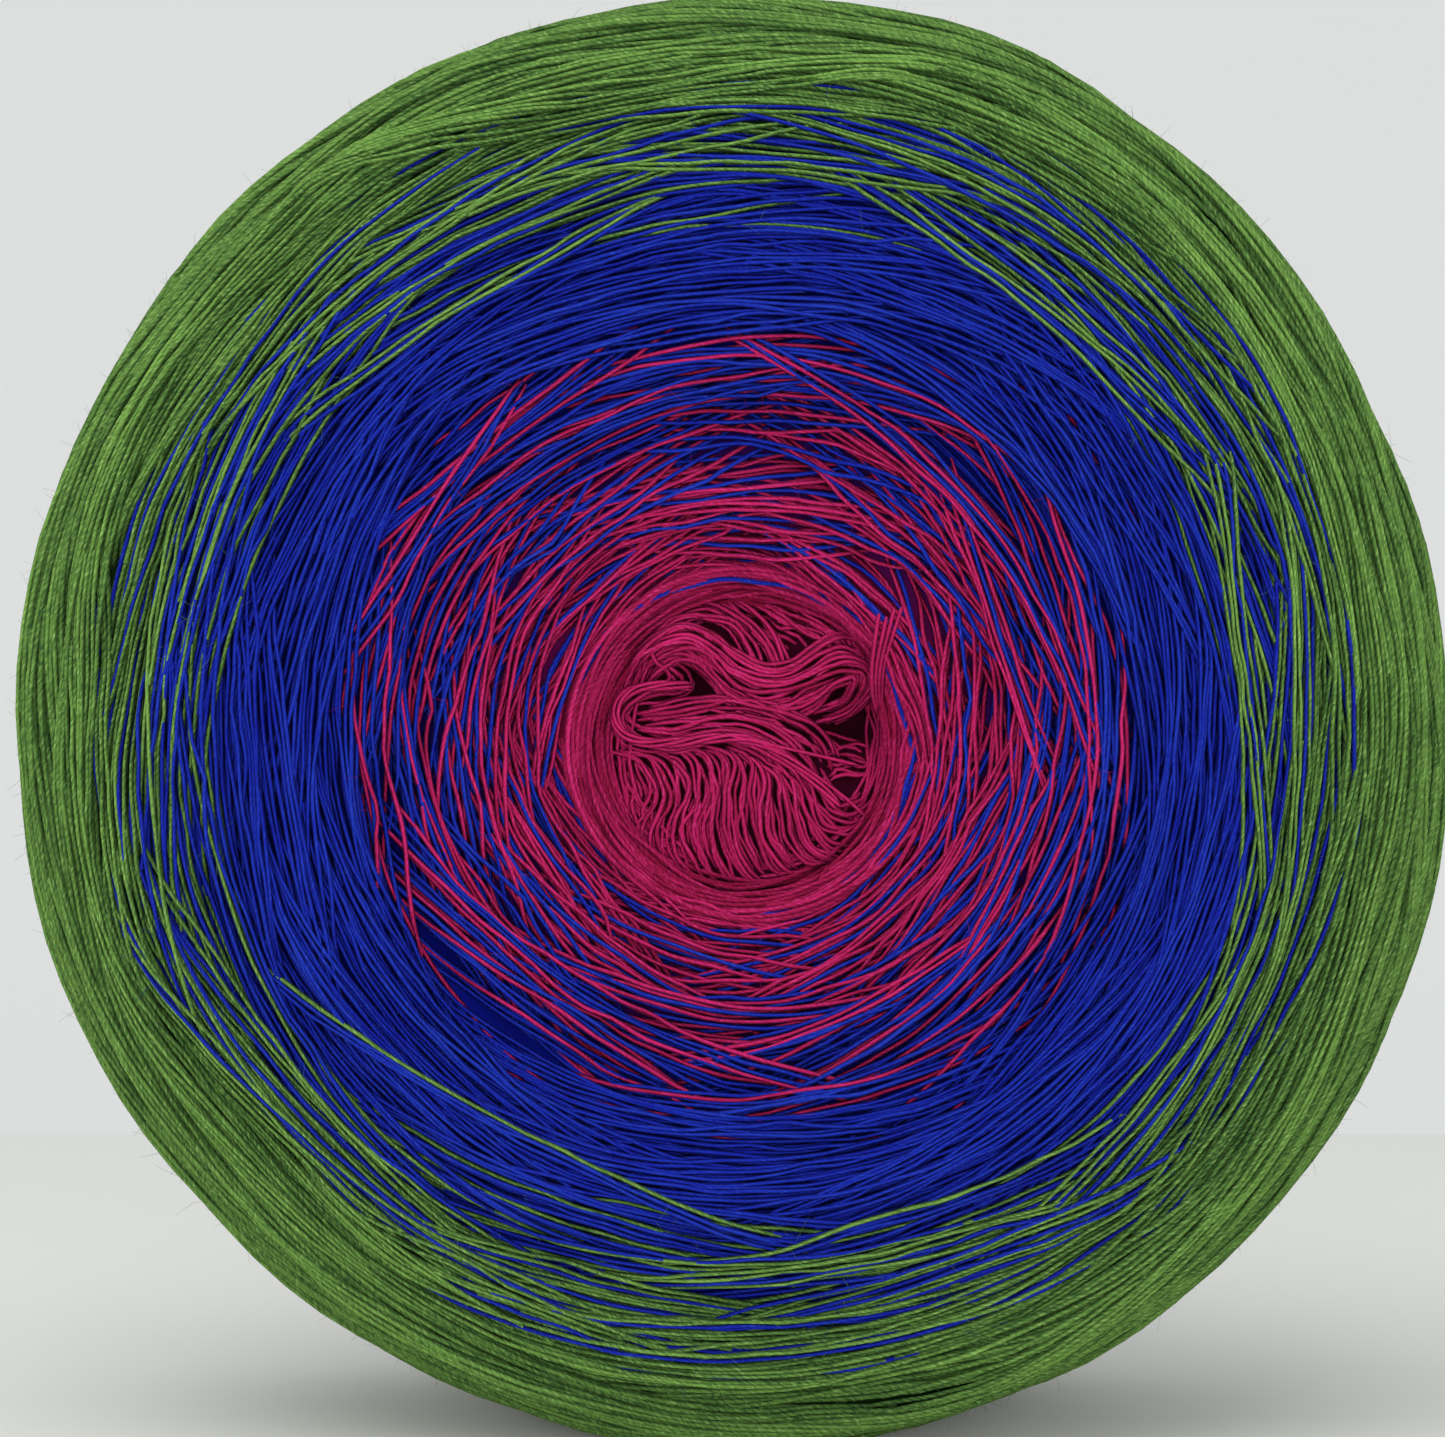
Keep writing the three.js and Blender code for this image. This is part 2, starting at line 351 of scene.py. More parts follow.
end_points = [on_core(*place) for place in END_ROUTE]
end_lengths = np.linalg.norm(np.diff(curve_through(end_points, 200), axis=0), axis=1)
end_length = float(end_lengths.sum())
end_line = curve_through(end_points, round(end_length / END_STEP))
end_ahead = unit(np.gradient(end_line, axis=0))
end_aside = unit(np.cross(end_ahead, AT_FRONT))
end_up = np.cross(end_aside, end_ahead)
end_along = np.linspace(0, end_length, len(end_line))
end_threads = []
for index in range(THREADS):
    turn = (2 * math.pi * (end_along / END_TWIST + index / THREADS))[:, None]
    line = end_line + (np.cos(turn) * end_aside + np.sin(turn) * end_up) * (END_DIAMETER - THREAD) / 2
    end_threads.append({"line": line, "outward": AT_FRONT, "thickness": THREAD,
                        "tone_and_painted_shade": 0.6 + 0.1 * index, "start": 0.2 * index})
loose_end = thread_piece("loose_end_threads", end_threads, "magenta")
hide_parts("loose_end")

tip_threads = []
for tip in END_TIPS:
    leave = round(tip["leaves"] * len(end_line))
    start = end_line[leave]
    goal = on_core(tip["right"], tip["up"], tip["out"])
    ahead = end_ahead[leave] * np.linalg.norm(goal - start) * 0.4
    knots = [start - ahead * 0.5 + 0.2 * AT_FRONT, start + ahead * 0.5 + 0.3 * AT_FRONT,
             (start + ahead + goal) / 2 + 0.3 * AT_FRONT, goal]
    line = curve_through(knots, 16)
    tip_threads.append({"line": line, "outward": AT_FRONT, "thickness": THREAD * 0.85,
                        "tone_and_painted_shade": 0.8, "start": 0.0})
end_tips = thread_piece("loose_end_tips", tip_threads, "magenta")

# The slack core
# The first turns were wound on a peg. With the peg drawn out they slumped into soft folds, which
# lie in the hole as ribbons of threads: a wave above, and below it a crest from which threads fall.
CORE_THREAD = 0.54
CORE_SINK = 1.0
CORE_CELL = 0.25
CORE_CELLS = 120
CORE_STEP = 0.5
CORE_EDGE = 14.9
CORE_BRIDGE = 3
PLUNGE = 3.0
BUNCH_THREADS = 4.5
BUNCHING = 0.75
STAGGER = 2.4
FOLDS_UP = 1.2
# How a thread wanders: over how many points, and how far aside or up.
CORE_DRIFTS = ((9, 0.24), (3, 0.06))
CORE_LIFTS = (6, 0.12)
CORE_UNEVEN = 0.18
GUIDE_POINTS = 60
# Each ribbon has a number of threads, how high its crown stands, how far its two ends dive and how deep
# it sinks. It lies between its guides, lines of places right of and above the hole's middle.
RIBBON_FIELDS = ("threads", "crown", "dive", "sink", "guides")
CORE_RIBBONS = [
    (12, 0, (0.5, 0.5), 0.2, (
        ((-5, 12.3), (-11.2, 7.4), (-14, 1), (-13.6, -5.6), (-9.8, -11.4), (-3, -15.2)),
        ((-6, 10.5), (-9, 6), (-10.4, 1), (-9.8, -5), (-7.6, -9.3), (-2.7, -12)))),
    (9, 0, (0.5, 0.5), 0.7, (
        ((11, 8.2), (13.8, 3), (14, -3.4), (11.8, -9), (6.5, -13.6), (-2, -15.4)),
        ((9.5, 6.5), (11.3, 2.5), (11.3, -3), (9.5, -7.3), (5.3, -10.8), (-1.5, -12.2)))),
    (7, 0, (0.5, 0.5), 0.7, (
        ((-11.8, 7.2), (-6, 11.9), (1, 13.2), (7.9, 11), (12.3, 5.7)),
        ((-9.5, 6.3), (-4.8, 10), (1, 11), (6.8, 9), (10, 5)))),
    (12, 0.5, (1.5, 3.4), 0, (
        ((-13.2, 2), (-11.8, 8), (-7, 12.2), (-2.7, 13), (0.6, 11.6), (2.5, 9.6), (3.5, 7.8), (4.2, 5.6),
         (4.6, 3), (4.8, 0.8)),
        ((-9.6, 4), (-8, 8.2), (-5, 10.4), (-2, 9.8), (-0.6, 8), (0.3, 6), (0.8, 4), (1.1, 2), (1.3, 0)))),
    (15, 0.4, (1.4, 3.0), 0, (
        ((-4.5, 14.3), (2, 13.6), (6.5, 12.8), (10.2, 10.4), (12, 6.6), (11.6, 3.5)),
        ((-1.5, 12.8), (2.4, 10.6), (5, 9.2), (6.8, 8.2), (8.2, 6.8), (9.2, 5)))),
    (20, 0.9, (2.4, 3.6), 0, (
        ((-12.4, 5), (-9.4, 8.4), (-6, 10), (-3.2, 9.2), (-0.4, 7), (2.6, 5.9), (5.6, 7.2), (8.4, 9.1),
         (11, 8.4), (12.5, 5.4), (11.8, 3), (9.8, 1.2), (7, 0.2), (4.4, -0.2)),
        ((-9.4, 3.4), (-7.6, 5.8), (-5.2, 6.2), (-3.4, 4.1), (-0.8, 1.9), (2.6, 0.9), (5.8, 1.4), (7.9, 3.3),
         (9, 5), (9.7, 4.6), (9.3, 3.3), (7.8, 2.2), (5.6, 1.4), (3.4, 0.8)))),
    (6, 0.3, (1.6, 2.4), 0, (
        ((-8, 6.3), (-6.5, 7.6), (-4.5, 7.5), (-2.5, 5.5), (0.2, 2.8)),
        ((-7.5, 5.3), (-6.2, 6.4), (-4.5, 5.7), (-2.8, 4.2), (-1, 2)))),
    (11, 0, (0.6, 1.2), 0.3, (
        ((6.5, -1), (9.5, -0.8), (13, -1.8)),
        ((7.5, -5.5), (10, -4.6), (12.6, -5)))),
    (14, 0.2, (0.6, 2.0), 0, (
        ((3.2, -2.8), (4.6, -6.8), (6.2, -10.4), (9.4, -11.9), (12.6, -9.4)),
        ((6.6, -2.6), (7.8, -5.4), (9, -6.6), (10.4, -6.3), (11.8, -4.6)))),
    (44, 0, (0.4, 2.2), 0, (
        ((-13.4, -1.6), (-10.2, -3), (-8.4, -6), (-10.2, -9), (-9.8, -11.6), (-7, -14.4)),
        ((-10.4, -1.8), (-7.4, -2.8), (-6.4, -6), (-7, -9.4), (-6, -12.6), (-3.8, -15.4)),
        ((-7.2, -1.6), (-4.5, -2.4), (-3.4, -6), (-4.4, -9.4), (-3.2, -13), (-1, -15.8)),
        ((-4.8, -1.4), (-2.2, -2.4), (-1.8, -6), (-2, -9.4), (-0.6, -13), (1.8, -15.6)),
        ((-2.4, -1.4), (0.1, -2.8), (0.2, -6), (0.4, -9.4), (2, -12.8), (4.6, -15)),
        ((-0.7, -1.6), (2, -3.6), (2.4, -7), (2.8, -10), (5, -12.8), (8, -13.8)),
        ((1.5, -2.4), (4, -4.6), (4.6, -8), (6, -11.2), (8.8, -12.2), (11.6, -10.2)))),
    (7, 0.2, (1.2, 0.2), 0, (
        ((-9.3, 9), (-8.8, 6.5), (-7.4, 5), (-8.5, 4.2), (-11, 4), (-12.6, 2), (-11.7, -0.7), (-9, -1.9),
         (-5, -2.2)),
        ((-7.5, 6.5), (-5.5, 5.2), (-5.2, 3.8), (-8, 2.7), (-10.5, 2.3), (-11, 1.2), (-9.5, 0.1), (-8, -0.3),
         (-5, -0.5)))),
    (16, 0.4, (0.8, 1.6), 0, (
        ((-11, 1.6), (-6, 2.5), (-2, 3), (2, 2.4), (5.5, 1), (7.9, -1.2), (8.8, -5)),
        ((-10.5, -1.4), (-6.5, -2), (-3, -1.3), (0.5, -2), (3, -4.2), (4.7, -7), (5, -9.5)))),
]
core_heights = np.zeros((CORE_CELLS, CORE_CELLS))


def core_cell(places):
    cells = np.rint(places / CORE_CELL).astype(int) + CORE_CELLS // 2
    return tuple(np.clip(cells, 1, CORE_CELLS - 2).T)


def near(values, reach):
    """Each value's neighbours along the last axis, out to a reach."""
    reach = min(reach, values.shape[-1] // 2)
    padded = np.pad(values, [(0, 0)] * (values.ndim - 1) + [(reach, reach)], mode="edge")
    return np.lib.stride_tricks.sliding_window_view(padded, 2 * reach + 1, axis=-1)


def wander(count, reach, size, dice=random):
    """A slow random drift along a thread."""
    knots = dice.normal(0, size, max(int(count / reach) + 3, 4))
    return np.interp(np.linspace(0, len(knots) - 1, count), np.arange(len(knots)), knots)


def core_thread(places, ribbon, across, dice):
    """One thread of a ribbon, laid on what is under it. Across runs from 0 to 1 over the ribbon."""
    count = len(places)
    ahead = unit(np.gradient(places, axis=0))
    aside = np.stack([-ahead[:, 1], ahead[:, 0]], axis=1)
    places = places + aside * sum(wander(count, *drift, dice) for drift in CORE_DRIFTS)[:, None]
    places[:, 1] += FOLDS_UP
    reach = np.hypot(*places.T)
    places *= np.minimum(1, CORE_EDGE / reach)[:, None]
    walked = np.arange(count) * CORE_STEP
    first, last = (np.clip(1 - gone / PLUNGE, 0, 1) ** 2 for gone in (walked, walked[::-1]))
    arch = ribbon["crown"] * (1 - (2 * across - 1) ** 2) * (1 - first) * (1 - last)
    under = core_heights[core_cell(places)]
    lift = near(near(under, CORE_BRIDGE).max(axis=-1), CORE_BRIDGE).mean(axis=-1) + THREAD * 0.4
    lift = lift - ribbon["dive"][0] * first - ribbon["dive"][1] * last - ribbon["sink"]
    for shift in (-1, 0, 1):
        cell = core_cell(places + shift * aside * CORE_CELL)
        core_heights[cell] = np.maximum(core_heights[cell], lift + THREAD * (0.2 - 0.2 * abs(shift)))
    lift = lift + arch + wander(count, *CORE_LIFTS, dice) + dice.normal(0, CORE_UNEVEN) - CORE_SINK
    return places, lift, ribbon["sink"]


def core_lines(ribbons, dice):
    """The slack core's threads, as their places and how far they lift off the core. They keep together
    in bunches, and their ends are staggered."""
    lines = []
    for row in ribbons:
        ribbon = dict(zip(RIBBON_FIELDS, row))
        guides = np.array([curve_through(guide, GUIDE_POINTS) for guide in ribbon["guides"]])
        bunches = 2 * math.pi * ribbon["threads"] / BUNCH_THREADS
        phase = dice.uniform(0, 2 * math.pi) + wander(GUIDE_POINTS, 15, 1.4, dice)
        for index in dice.permutation(ribbon["threads"]):
            across = index / (ribbon["threads"] - 1)
            bunched = across + BUNCHING * np.sin(bunches * across + phase) / bunches
            spot = np.clip(bunched * (len(guides) - 1), 0, len(guides) - 1)
            low = np.minimum(spot.astype(int), len(guides) - 2)
            share = (spot - low)[:, None]
            at = np.arange(GUIDE_POINTS)
            guide = guides[low, at] * (1 - share) + guides[low + 1, at] * share
            length = np.linalg.norm(np.diff(guide, axis=0), axis=1).sum()
            places = curve_through(guide[::4], max(round(length / CORE_STEP), 10))
            first, last = (round(cut) for cut in dice.uniform(0, STAGGER, 2) / CORE_STEP)
            lines.append(core_thread(places[first:len(places) - last], ribbon, across, dice))
    return lines


def core_piece(name, side, lines, dice):
    """The threads of one end. The back end is like the front one turned round."""
    threads = []
    for places, lift, sink in lines:
        out = core_half_depth_at(places[:, 0], places[:, 1]) + lift
        line = np.stack([HOLE_X - side * places[:, 0], side * out, HOLE_Z + places[:, 1]], axis=1)
        # A sunk ribbon's threads are painted darker, as painted shade, with a random tone.
        threads.append({"line": line, "outward": (0.0, side, 0.0),
                        "thickness": CORE_THREAD * (1 + wander(len(line), *UNEVEN_THICKNESS, dice)),
                        "tone_and_painted_shade": float(np.clip(dice.normal(0.52 - sink * 0.4, 0.22), 0, 1)),
                        "start": dice.uniform(0, 1)})
    return thread_piece(name, threads, "magenta")


core_laid = core_lines(CORE_RIBBONS, random)
for end, side in ENDS.items():
    core_piece(f"{end}_core_threads", side, core_laid, random)

# Lower ribbons show through the gaps between those.
LOWER_RIBBONS = [
    (11, 0, (1.8, 2.2), 0.5, (
        ((1.2, 12), (4.2, 10.7), (6.8, 9.2), (8.6, 7.6)),
        ((-0.8, 8.8), (1.2, 7.7), (2.8, 6.6), (4.4, 6)))),
    (7, 0, (0.6, 1.0), 0.4, (
        ((-12.4, -2.4), (-11.2, -5), (-11, -8), (-9.6, -11)),
        ((-10, -2.6), (-8.4, -5), (-8.8, -8), (-8.4, -11.5)))),
    (6, 0, (0.6, 0.8), 0.4, (
        ((-5.4, -6), (-5.8, -9), (-4.6, -12.5)),
        ((-3.6, -6), (-4.2, -9), (-2.8, -13)))),
]
lower_dice = np.random.default_rng(3)
lower_laid = core_lines(LOWER_RIBBONS, lower_dice)
for end, side in ENDS.items():
    core_piece(f"{end}_lower_threads", side, lower_laid, lower_dice)

# Turns line the hole's wall, from the core out to its edge, and the deepest are painted darkest, as painted
# shade.
LINING = {"turns": 58, "radii": (12.9, 16.6), "depths": (24.2, 29.4), "spans": (2, 5), "tilt": 1.6,
          "drift": (8, 0.42), "shades": (-0.6, 0.25), "uneven": 0.25, "step": 1.8}


def lining_piece(name, side):
    threads = []
    for share in np.linspace(0, 1, LINING["turns"]):
        start, span = random.uniform((0, LINING["spans"][0]), (2 * math.pi, LINING["spans"][1]))
        radius = np.interp(share, (0, 1), LINING["radii"])
        angle = start + np.linspace(0, span, round(span * radius / LINING["step"]))
        radius = radius + wander(len(angle), *LINING["drift"])
        depth = np.interp(share, (0, 1), LINING["depths"])
        depth = depth + LINING["tilt"] * np.cos(angle - start - span / 2)
        across, up = HOLE_X + radius * np.cos(angle), HOLE_Z + radius * np.sin(angle)
        line = np.stack([across, side * depth, up], axis=1)
        outward = np.stack([-np.cos(angle), np.full(len(angle), side * 0.8), -np.sin(angle)], axis=1)
        # Painted shade: the deeper a turn lies, the darker it is painted, with a random tone.
        tone_and_painted_shade = random.normal(np.interp(share, (0, 1), LINING["shades"]), LINING["uneven"])
        threads.append({"line": line, "outward": outward, "thickness": THREAD,
                        "tone_and_painted_shade": float(np.clip(tone_and_painted_shade, -1, 1)), "start": random.uniform(0, 1)})
    return thread_piece(name, threads, "magenta")


for end, side in ENDS.items():
    lining_piece(f"{end}_lining_turns", side)

# A tuft of four threads stands at the right of the hole, on the front. Each has a foot, a bend and a tip.
TUFT = [
    ((12.2, 2.8), (11.6, 6.4), (12.2, 12.0)),
    ((12.3, 3.0), (12.0, 6.7), (12.9, 11.7)),
    ((12.5, 3.2), (12.4, 7.0), (13.6, 12.4)),
    ((12.7, 3.4), (12.8, 7.3), (14.3, 12.6)),
]
TUFT_DEPTHS = (26.0, 30.6, 33.2)
tuft = []
for row in TUFT:
    knots = [(HOLE_X + right, -depth, HOLE_Z + up) for (right, up), depth in zip(row, TUFT_DEPTHS)]
    line = curve_through(knots, 18)
    tuft.append({"line": line, "outward": AT_FRONT, "thickness": THREAD,
                 "tone_and_painted_shade": 0.8, "start": random.uniform(0, 1)})
thread_piece("tuft", tuft, "magenta")


DEEP_BLEND = 5.0


def painted_shade_yarn(name, stops):
    """Yarn deep between the turns that show, matt, in dye colours darkened as painted shade. Each stop is a
    radius and a colour.
    """
    nodes = Nodes(name)
    spot = nodes.add("ShaderNodeTexCoord", output=3)
    axis = (HOLE_X * MM, 0.0, HOLE_Z * MM)
    centred = nodes.add("ShaderNodeVectorMath", {"operation": "SUBTRACT"}, {0: spot, 1: axis})
    flat = nodes.add("ShaderNodeVectorMath", {"operation": "MULTIPLY"}, {0: centred, 1: (1.0, 0.0, 1.0)})
    radius = nodes.add("ShaderNodeVectorMath", {"operation": "LENGTH"}, {0: flat}, output=1) * (1 / MM)
    colour = stops[0][1]
    for start, paint in stops[1:]:
        share = ((radius - start) * (1 / DEEP_BLEND)).held()
        colour = nodes.mix_colour(share, colour, paint)
    nodes.feed(nodes.shader.inputs["Base Color"], colour)
    nodes.hold({"Roughness": 0.95, "Specular IOR Level": 0.05})
    return nodes.material


# Under the threads that show, the core is filled with deeper ones.
DEEP_RADIUS = 14.8
DEEP_BELOW = 0.9
bpy.ops.object.select_all(action="DESELECT")
bpy.ops.mesh.primitive_uv_sphere_add(segments=96, ring_count=64, radius=1.0, rotation=(math.pi / 2, 0, 0))
bpy.ops.object.transform_apply()
deep_core = bpy.context.object
deep_core.name = "deep_core"
for vertex in deep_core.data.vertices:
    from_pole = math.acos(min(abs(vertex.co.y), 1.0)) / (math.pi / 2)
    angle = math.atan2(vertex.co.z, vertex.co.x)
    side = BACK if vertex.co.y > 0 else FRONT
    radius = DEEP_RADIUS * math.sin(min(from_pole * 1.08, 1.0) * math.pi / 2)
    right, up = radius * math.cos(angle), radius * math.sin(angle)
    depth = core_half_depth_at(-side * right, up) - CORE_SINK - DEEP_BELOW
    depth *= min((1 - from_pole) / 0.08, 1.0)
    vertex.co = Vector((HOLE_X + right, side * depth, HOLE_Z + up)) * MM
# The deep core is painted a dark magenta, as painted shade.
deep_core.data.materials.append(painted_shade_yarn("deep_core_painted_shade", [(0, linear(44, 1, 18))]))
bpy.ops.object.shade_smooth()
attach(deep_core, "root")
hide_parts("slack_core")

# The drum's form
# The yarn is cross-wound on a winder's spindle into a thick drum, dished round the hole and rounded at
# the shoulders. These are the wound body's own sizes, in millimetres.
RADIUS = 70.0
HALF_DEPTH = 36.5
SHOULDER_ACROSS = 7
SHOULDER_DEPTH = 3
HOLE_RADIUS = 14.0
HOLE_RIGHT = 1.2
HOLE_DOWN = 1.8
DISH_DEPTH = 6.5
DISH_RADIUS = 44.0
AXIS_X = HOLE_X - HOLE_RIGHT
AXIS_Z = HOLE_Z + HOLE_DOWN
# Swells of the outline: their lobes, their height and the first lobe's angle.
SWELLS = ((2, 0.55, 102), (3, 0.5, 63), (5, 0.15, 58))


def half_depth_at(radius):
    crown = HALF_DEPTH * (1 - np.minimum(radius / RADIUS, 1) ** SHOULDER_ACROSS) ** (1 / SHOULDER_DEPTH)
    inward = np.clip((DISH_RADIUS - radius) / (DISH_RADIUS - HOLE_RADIUS), 0, 1)
    return crown - DISH_DEPTH * inward ** 2


def rim_radius_at(depth):
    return RADIUS * (1 - (np.abs(depth) / HALF_DEPTH) ** SHOULDER_DEPTH) ** (1 / SHOULDER_ACROSS)


def swell_at(angle):
    return sum(height * np.cos(lobes * (angle - math.radians(turn))) for lobes, height, turn in SWELLS)


WALL_SHOWN = 12.0
EDGE_ROUND = 1.4
SHOULDER_JOIN = 66.0
PROFILE_STEP = 0.25


def drum_profile():
    """The drum's outline from inside the front of the hole, over the front end, the rim and the back
    end, and into the back of the hole, as evenly spaced radii and depths."""
    edge_depth = half_depth_at(HOLE_RADIUS)
    wall_depths = np.linspace(edge_depth - WALL_SHOWN, edge_depth - 2 * EDGE_ROUND, 8)
    wall = [(HOLE_RADIUS, -depth) for depth in wall_depths]
    face_radii = np.linspace(HOLE_RADIUS + EDGE_ROUND, SHOULDER_JOIN, 90)
    face = [(radius, -half_depth_at(radius)) for radius in face_radii]
    rim_depths = np.linspace(-half_depth_at(SHOULDER_JOIN), 0, 50)[1:]
    rim = [(rim_radius_at(depth), depth) for depth in rim_depths]
    half = np.array(wall + face + rim)
    whole = np.concatenate([half, (half * [1, -1])[-2::-1]])
    length = np.concatenate([[0], np.cumsum(np.linalg.norm(np.diff(whole, axis=0), axis=1))])
    even = np.linspace(0, length[-1], int(length[-1] / PROFILE_STEP) | 1)
    line = np.stack([np.interp(even, length, whole[:, axis]) for axis in (0, 1)], axis=1)
    kernel = np.hanning(13)[1:-1]
    kernel /= kernel.sum()
    reach = len(kernel) // 2
    padded = np.pad(line, ((reach, reach), (0, 0)), mode="reflect", reflect_type="odd")
    return np.stack([np.convolve(padded[:, axis], kernel, mode="valid") for axis in (0, 1)], axis=1)


PROFILE = drum_profile()
ahead = unit(np.gradient(PROFILE, axis=0))
PROFILE_OUT = np.stack([ahead[:, 1], -ahead[:, 0]], axis=1)
ROWS = len(PROFILE)
PROFILE_AT = np.arange(ROWS) * PROFILE_STEP


def on_drum(angle, along, lift, foot=0.0):
    """Points at an angle round the drum and a distance along its profile, lifted off its surface."""
    radius, depth, out_radius, out_depth = (
        np.interp(along, PROFILE_AT, values) for values in (*PROFILE.T, *PROFILE_OUT.T))
    swollen = radius + out_radius * lift + swell_at(angle) * (radius / RADIUS) ** 2
    inward = np.clip((RADIUS - radius) / (RADIUS - HOLE_RADIUS), 0, 1) ** 2
    across = AXIS_X + swollen * np.cos(angle) + HOLE_RIGHT * inward
    up = AXIS_Z + swollen * np.sin(angle) - HOLE_DOWN * inward
    points = np.stack([across, depth + out_depth * lift, np.maximum(up, foot)], axis=-1)
    outward = np.stack([out_radius * np.cos(angle), out_depth, out_radius * np.sin(angle)], axis=-1)
    return points, outward


FACE_ROWS = slice(60, ROWS // 2)


def along_at_radius(radius):
    """How far along the profile the front end reaches a radius."""
    return float(np.interp(radius, PROFILE[FACE_ROWS, 0], PROFILE_AT[FACE_ROWS]))


def radius_at(along):
    return float(np.interp(along, PROFILE_AT, PROFILE[:, 0]))


# The windings
# The yarn runs round the drum and turns back at each end. Each turn comes over the shoulder, nears the
# hole in a long bend, and leaves over the shoulder again, so later turns cover its two ends.
LOOKS_ROUND = 720
BRIDGE = 2.2
TAUT = 0.6
SETTLING = 0.2
WAVE_LENGTH = 3.6
WAVE_SIZE = 0.11
GATHERING = 0.34
GATHERING_LOOKS = 45
DRIFT = 0.135
DRIFT_LOOKS = 30
JOINING = 6
ROW_SPREAD = ((-1, 0.0), (0, 1.0), (1, 0.0))
heights = np.zeros((LOOKS_ROUND, ROWS))


def lay(column, along):
    """Lays threads side by side on what is there. Each is taut, so it bridges hollows. Gives the height
    of each thread's middle."""
    row = np.clip(np.rint(along / PROFILE_STEP).astype(int), 1, ROWS - 2)
    column = np.broadcast_to(column % LOOKS_ROUND, row.shape)
    radius = radius_at(along.mean())
    reach = int(np.clip(round(BRIDGE / (radius * 2 * math.pi / LOOKS_ROUND)), 3, 16))
    under = np.maximum.reduce([heights[column, row + aside] for aside, _ in ROW_SPREAD])
    spans = near(under, reach)
    held = TAUT * spans.max(axis=-1) + (1 - TAUT) * spans.mean(axis=-1)
    middle = near(held, reach).mean(axis=-1) + THREAD / 2
    for aside, share in ROW_SPREAD:
        top = middle + THREAD * SETTLING * share
        heights[column, row + aside] = np.maximum(heights[column, row + aside], top)
    return middle


# How the yarn's four threads are dyed from each radius on, which is how near the hole the turn comes.
DYE_LETTERS = {"M": "magenta", "B": "blue", "G": "green"}
STAGES = [
    (0.0, "MMMM"), (16.0, "MMMB"), (22.5, "MMBB"), (29.0, "MBBB"), (35.5, "BBBB"),
    (45.5, "BBBG"), (49.5, "BBGG"), (54.0, "BGGG"), (59.6, "GGGG"),
]


def spelt_dyes(letters):
    return [DYE_LETTERS[letter] for letter in letters]


def dyes_at(radius):
    return spelt_dyes([letters for start, letters in STAGES if start <= radius][-1])


laid = []


def lay_yarn(column, along, dyes, side, spread=1.0, lengths=1):
    """Lays the yarn's threads beside one another along a path given for their middle. A long path is
    laid in lengths, each on top of those before it."""
    count = len(column)
    offsets = (np.arange(THREADS) - (THREADS - 1) / 2) * SPACING
    spread = spread * np.exp(wander(count, GATHERING_LOOKS, GATHERING))
    wave = WAVE_LENGTH / (radius_at(along.mean()) * 2 * math.pi / LOOKS_ROUND)
    drifts = [wander(count, DRIFT_LOOKS, DRIFT) + wander(count, wave, WAVE_SIZE) for _ in range(THREADS)]
    path = along[None, :] + offsets[:, None] * spread + np.stack(drifts)
    pieces = zip(np.array_split(column, lengths), np.array_split(path, lengths, axis=1))
    middle = np.concatenate([lay(piece, its_path) for piece, its_path in pieces], axis=1)
    if lengths > 1:
        middle = near(middle, JOINING).mean(axis=-1)
    crowding = np.clip(1 - spread, 0, 0.8) * THREAD
    middle = middle + (np.arange(THREADS) % 2)[:, None] * crowding
    shades = random.normal(0.5, 0.25, THREADS)
    for index in range(THREADS):
        laid.append({
            "column": column, "along": path[index], "middle": middle[index], "dye": dyes[index],
            "tone_and_painted_shade": float(np.clip(shades[index], 0, 1)), "side": side,
        })


def lay_turns(side, nearest, angle, half_span, straight, turns, dyes, spread=(1.0, 1.0), lean=0.0):
    """Lays a few turns of yarn side by side on one end. Nearest is how far along the profile they come
    nearest the hole, and straight is 0 where they run round and 1 where they run dead straight."""
    for turn in range(turns):
        start = nearest + turn * THREADS * SPACING * sum(spread) / 2
        radius = radius_at(start)
        low = int((angle - half_span + random.normal(0, 0.05)) / (2 * math.pi) * LOOKS_ROUND)
        high = int((angle + half_span + random.normal(0, 0.05)) / (2 * math.pi) * LOOKS_ROUND)
        column = np.arange(low, high)
        away = column * 2 * math.pi / LOOKS_ROUND - angle
        run = radius * (1 / np.cos(np.clip(straight * away, -1.3, 1.3)) - 1 + lean * away)
        along = start + run
        along = along if side == FRONT else PROFILE_AT[-1] - along
        lay_yarn(column, along, dyes, side, np.linspace(*spread, len(column)))


# Turns on the front that catch the eye. Each is laid once the windings have all but reached its ends.
MARK_FIELDS = ("radius", "angle", "half", "straight", "turns", "dyes")
MARKS = [
    (25.5, 20, 34, 1.0, 1, "MMBM"), (28.0, -27, 30, 0.9, 1, "MBMM"),
    (27.5, 238, 48, 0.75, 1, "MBBM"), (29.2, 38, 50, 0.7, 1, "MBMB"),
    (34.0, 147, 26, 1.0, 1, "MBBM"), (42.5, 243, 38, 0.85, 1, "GBBB"),
    (45.8, 123, 28, 0.9, 1, "BGBG"), (47.0, 50, 30, 0.9, 2, "GBBG"),
    (48.0, 7, 28, 0.95, 1, "GGBG"), (50.5, 279, 28, 0.9, 1, "GGBG"),
]
MARK_COVERED = 2.5
MARK_SPREAD = (0.6, 1.4)
TOP_MARK = (58.3, 98, 29, 0.92, 2, "GGGG")

# The ends of the drum. A ribbon is the few turns that lie side by side before the winder moves on, and
# between two ribbons a longer, rounder turn fills the ground.
FIRST_TURN = 1.0
FIRST_RIBBON = 11.0
LAST_RADIUS = 62.0
COVER = 3.2
GROUND_COVER = 1.1
GROUND_STRAIGHT = 0.3
GROUND_SPAN = math.radians(75)
